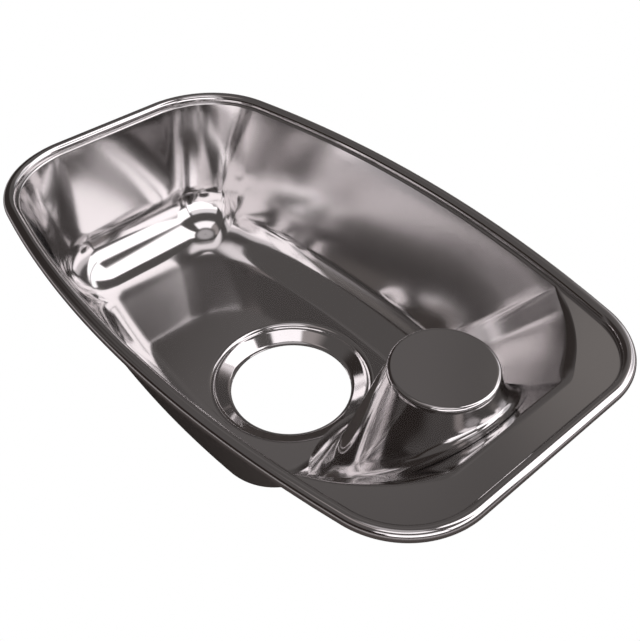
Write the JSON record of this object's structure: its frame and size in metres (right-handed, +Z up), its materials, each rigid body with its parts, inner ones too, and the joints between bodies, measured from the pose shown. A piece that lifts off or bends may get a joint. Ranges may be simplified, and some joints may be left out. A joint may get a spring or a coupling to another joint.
{
  "type": "pedicure foot bath",
  "caption": "Polished stainless pedicure foot bath: rolled-rim basin with a ledge at one end, a conical footrest post and an open drain seat.",
  "frame": {"origin": "Below the centre of the rim's outline, level with the underside of the drain seat", "axes": "+Z up; +X along the basin towards the footrest end; +Y across it. The basin is symmetric about the plane y = 0."},
  "size_m": [0.554, 0.33, 0.1668],
  "materials": {
    "polished_sheet": "mirror-polished stainless sheet",
    "polished_rim": "mirror-polished rolled edge",
    "polished_post": "mirror-polished spun cone and cap",
    "dressed_weld": "ground and polished fillet weld"
  },
  "bodies": {
    "root": {"rim_bead": "polished_rim", "deck_flange": "polished_sheet", "well_shell": "polished_sheet", "drain_seat": "polished_sheet", "footrest_post": "polished_post", "footrest_cap": "polished_post", "post_weld": "dressed_weld"}
  },
  "joints": []
}
